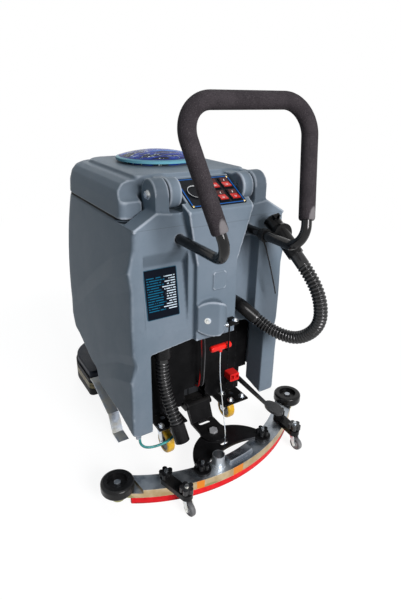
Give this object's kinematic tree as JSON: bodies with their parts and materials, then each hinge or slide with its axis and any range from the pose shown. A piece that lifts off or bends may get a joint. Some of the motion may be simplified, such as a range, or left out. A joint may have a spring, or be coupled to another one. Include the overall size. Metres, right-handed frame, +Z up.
{
  "type": "floor scrubber dryer",
  "caption": "Walk-behind floor scrubber dryer with a moulded tank body, loop handle, scrub deck, drain and vacuum hoses and a curved towed squeegee.",
  "frame": {"origin": "on the floor, under the middle of the machine's overall box without its hoses", "axes": "+Z up, +Y forward away from the operator, +X to the operator's right"},
  "size_m": [0.7796, 0.9268, 1.062],
  "materials": {
    "body_grey": "rotomoulded, fine matt grain",
    "black_steel": "satin black powder coat",
    "foam": "closed-cell foam, matt",
    "black_plastic": "moulded, satin",
    "switch_red": "gloss",
    "plate_blue": "printed film",
    "cover_clear": "clear moulding with a blue film",
    "seal": "matt",
    "hose_black": "ribbed, satin",
    "teal_tube": "translucent",
    "zinc": "zinc plated",
    "cast_aluminium": "cast and brushed",
    "red_rubber": "matt",
    "yellow_pu": "cast polyurethane",
    "grey_rubber": "matt",
    "tyre_black": "matt",
    "deck_paint": "satin",
    "frame_black": "satin",
    "battery_case": "matt",
    "motor_grey": "painted",
    "pad_fibre": "non-woven pad"
  },
  "bodies": {
    "body": {"chassis_frame": "frame_black", "solution_tank": "body_grey", "recovery_tank": "body_grey", "float_standpipe": "black_plastic", "batteries": "battery_case", "vacuum_motor": "motor_grey", "control_panel": "black_plastic", "handle_tube": "black_steel", "handle_grip": "foam", "data_plate": "plate_blue", "hinge_bolts": "zinc", "wheel_axle": "zinc", "side_strap": "zinc", "hose_fittings": "black_plastic", "drain_hose": "hose_black", "drain_cuff": "hose_black", "hose_clip": "black_plastic", "vacuum_hose": "hose_black", "vacuum_hose_cuff": "hose_black", "water_tube": "teal_tube", "handle_hook": "black_steel", "charge_connector": "switch_red"},
    "lid": {"recovery_lid": "body_grey", "lid_seal": "seal"},
    "cover": {"inspection_cover": "cover_clear"},
    "drain_cap": {"drain_cap": "black_plastic"},
    "lift_handle": {"lift_handle": "switch_red", "lift_cable": "zinc"},
    "lift_arm": {"lift_arm": "black_steel"},
    "squeegee": {"squeegee_yoke": "black_steel", "squeegee_casting": "cast_aluminium", "squeegee_blades": "red_rubber", "caster_brackets": "black_plastic"},
    "deck": {"brush_deck": "deck_paint", "deck_skirt": "seal", "brush_motors": "motor_grey"},
    "pedal": {"deck_pedal": "black_steel"},
    "rocker_switch_1": {"rocker_switch_1": "switch_red"},
    "rocker_switch_2": {"rocker_switch_2": "switch_red"},
    "rocker_switch_3": {"rocker_switch_3": "switch_red"},
    "rocker_switch_4": {"rocker_switch_4": "switch_red"},
    "bumper_roller_left": {"bumper_roller_left": "black_plastic"},
    "bumper_roller_right": {"bumper_roller_right": "black_plastic"},
    "star_knob_yoke_left": {"star_knob_yoke_left": "black_plastic"},
    "star_knob_yoke_right": {"star_knob_yoke_right": "black_plastic"},
    "star_knob_bracket_left": {"star_knob_bracket_left": "black_plastic"},
    "star_knob_bracket_right": {"star_knob_bracket_right": "black_plastic"},
    "squeegee_caster_fork_left": {"squeegee_caster_fork_left": "zinc"},
    "squeegee_caster_fork_right": {"squeegee_caster_fork_right": "zinc"},
    "squeegee_caster_wheel_left": {"squeegee_caster_wheel_left": "grey_rubber"},
    "squeegee_caster_wheel_right": {"squeegee_caster_wheel_right": "grey_rubber"},
    "main_wheel_left": {"main_wheel_left": "tyre_black"},
    "main_wheel_right": {"main_wheel_right": "tyre_black"},
    "caster_fork_left": {"caster_fork_left": "zinc"},
    "caster_fork_right": {"caster_fork_right": "zinc"},
    "caster_wheel_left": {"caster_wheel_left": "yellow_pu"},
    "caster_wheel_right": {"caster_wheel_right": "yellow_pu"},
    "scrub_disc_left": {"scrub_disc_left": "pad_fibre"},
    "scrub_disc_right": {"scrub_disc_right": "pad_fibre"}
  },
  "joints": [
    {"name": "lid_hinge", "type": "hinge", "parent": "body", "child": "lid", "pos_m": [0, -0.18466, 0.822], "axis": [1, 0, 0], "range_deg": [0, 100]},
    {"name": "cover_lift", "type": "slide", "parent": "lid", "child": "cover", "axis": [0, 0, 1], "range_m": [0, 0.03]},
    {"name": "rocker_1", "type": "hinge", "parent": "body", "child": "rocker_switch_1", "pos_m": [0.02, -0.22516, 0.80687], "axis": [1, 0, 0], "range_deg": [-7, 7]},
    {"name": "rocker_2", "type": "hinge", "parent": "body", "child": "rocker_switch_2", "pos_m": [0.02, -0.18316, 0.83013], "axis": [1, 0, 0], "range_deg": [-7, 7]},
    {"name": "rocker_3", "type": "hinge", "parent": "body", "child": "rocker_switch_3", "pos_m": [0.058, -0.22516, 0.80687], "axis": [1, 0, 0], "range_deg": [-7, 7]},
    {"name": "rocker_4", "type": "hinge", "parent": "body", "child": "rocker_switch_4", "pos_m": [0.058, -0.18316, 0.83013], "axis": [1, 0, 0], "range_deg": [-7, 7]},
    {"name": "drain_cap_hinge", "type": "hinge", "parent": "body", "child": "drain_cap", "pos_m": [0.15544, -0.28983, 0.75581], "axis": [0.9768, 0, 0.2141], "range_deg": [0, 100]},
    {"name": "lift_arm_hinge", "type": "hinge", "parent": "body", "child": "lift_arm", "pos_m": [0, -0.15666, 0.114], "axis": [-1, 0, 0], "range_deg": [0, 9]},
    {"name": "lift_handle_slide", "type": "slide", "parent": "body", "child": "lift_handle", "axis": [0, 0, 1], "range_m": [0, 0.024]},
    {"name": "squeegee_yaw", "type": "hinge", "parent": "lift_arm", "child": "squeegee", "pos_m": [0, -0.25666, 0.064], "axis": [0, 0, 1], "range_deg": [-8, 8]},
    {"name": "roller_left_spin", "type": "hinge", "parent": "squeegee", "child": "bumper_roller_left", "pos_m": [-0.34278, -0.29572, 0.056], "axis": [0, 0, 1], "continuous": true},
    {"name": "knob_yoke_left_turn", "type": "hinge", "parent": "squeegee", "child": "star_knob_yoke_left", "pos_m": [-0.10913, -0.36773, 0.07], "axis": [0, 0, 1], "continuous": true},
    {"name": "knob_bracket_left_turn", "type": "hinge", "parent": "squeegee", "child": "star_knob_bracket_left", "pos_m": [-0.21884, -0.35003, 0.078], "axis": [0, 0, 1], "continuous": true},
    {"name": "squeegee_caster_left_swivel", "type": "hinge", "parent": "squeegee", "child": "squeegee_caster_fork_left", "pos_m": [-0.19686, -0.42805, 0.06], "axis": [0, 0, 1], "continuous": true},
    {"name": "squeegee_caster_left_roll", "type": "hinge", "parent": "squeegee_caster_fork_left", "child": "squeegee_caster_wheel_left", "pos_m": [-0.19528, -0.44196, 0.021], "axis": [0.9936, 0.1132, 0], "continuous": true},
    {"name": "main_wheel_left_roll", "type": "hinge", "parent": "body", "child": "main_wheel_left", "pos_m": [-0.15, 0.01834, 0.1], "axis": [1, 0, 0], "continuous": true},
    {"name": "caster_left_swivel", "type": "hinge", "parent": "body", "child": "caster_fork_left", "pos_m": [-0.132, -0.16166, 0.1], "axis": [0, 0, 1], "continuous": true},
    {"name": "caster_left_roll", "type": "hinge", "parent": "caster_fork_left", "child": "caster_wheel_left", "pos_m": [-0.132, -0.18566, 0.0375], "axis": [1, 0, 0], "continuous": true},
    {"name": "scrub_disc_left_spin", "type": "hinge", "parent": "deck", "child": "scrub_disc_left", "pos_m": [-0.118, 0.33034, 0.06], "axis": [0, 0, 1], "continuous": true},
    {"name": "roller_right_spin", "type": "hinge", "parent": "squeegee", "child": "bumper_roller_right", "pos_m": [0.34278, -0.2176, 0.056], "axis": [0, 0, 1], "continuous": true},
    {"name": "knob_yoke_right_turn", "type": "hinge", "parent": "squeegee", "child": "star_knob_yoke_right", "pos_m": [0.13132, -0.34033, 0.07], "axis": [0, 0, 1], "continuous": true},
    {"name": "knob_bracket_right_turn", "type": "hinge", "parent": "squeegee", "child": "star_knob_bracket_right", "pos_m": [0.23423, -0.29841, 0.078], "axis": [0, 0, 1], "continuous": true},
    {"name": "squeegee_caster_right_swivel", "type": "hinge", "parent": "squeegee", "child": "squeegee_caster_fork_right", "pos_m": [0.23037, -0.37937, 0.06], "axis": [0, 0, 1], "continuous": true},
    {"name": "squeegee_caster_right_roll", "type": "hinge", "parent": "squeegee_caster_fork_right", "child": "squeegee_caster_wheel_right", "pos_m": [0.23196, -0.39328, 0.021], "axis": [0.9936, 0.1132, 0], "continuous": true},
    {"name": "main_wheel_right_roll", "type": "hinge", "parent": "body", "child": "main_wheel_right", "pos_m": [0.15, 0.01834, 0.1], "axis": [1, 0, 0], "continuous": true},
    {"name": "caster_right_swivel", "type": "hinge", "parent": "body", "child": "caster_fork_right", "pos_m": [0.132, -0.16166, 0.1], "axis": [0, 0, 1], "continuous": true},
    {"name": "caster_right_roll", "type": "hinge", "parent": "caster_fork_right", "child": "caster_wheel_right", "pos_m": [0.132, -0.13766, 0.0375], "axis": [1, 0, 0], "continuous": true},
    {"name": "scrub_disc_right_spin", "type": "hinge", "parent": "deck", "child": "scrub_disc_right", "pos_m": [0.118, 0.33034, 0.06], "axis": [0, 0, 1], "continuous": true},
    {"name": "deck_lift", "type": "hinge", "parent": "body", "child": "deck", "pos_m": [0, 0.16434, 0.122], "axis": [1, 0, 0], "range_deg": [0, 6]},
    {"name": "pedal_press", "type": "hinge", "parent": "body", "child": "pedal", "pos_m": [0.187, -0.10766, 0.134], "axis": [1, 0, 0], "range_deg": [0, 7.2]}
  ],
  "couplings": [
    {"joint": "lift_handle_slide", "follows": "lift_arm_hinge", "m_per_rad": 0.15},
    {"joint": "pedal_press", "follows": "deck_lift", "ratio": 1.1667}
  ]
}
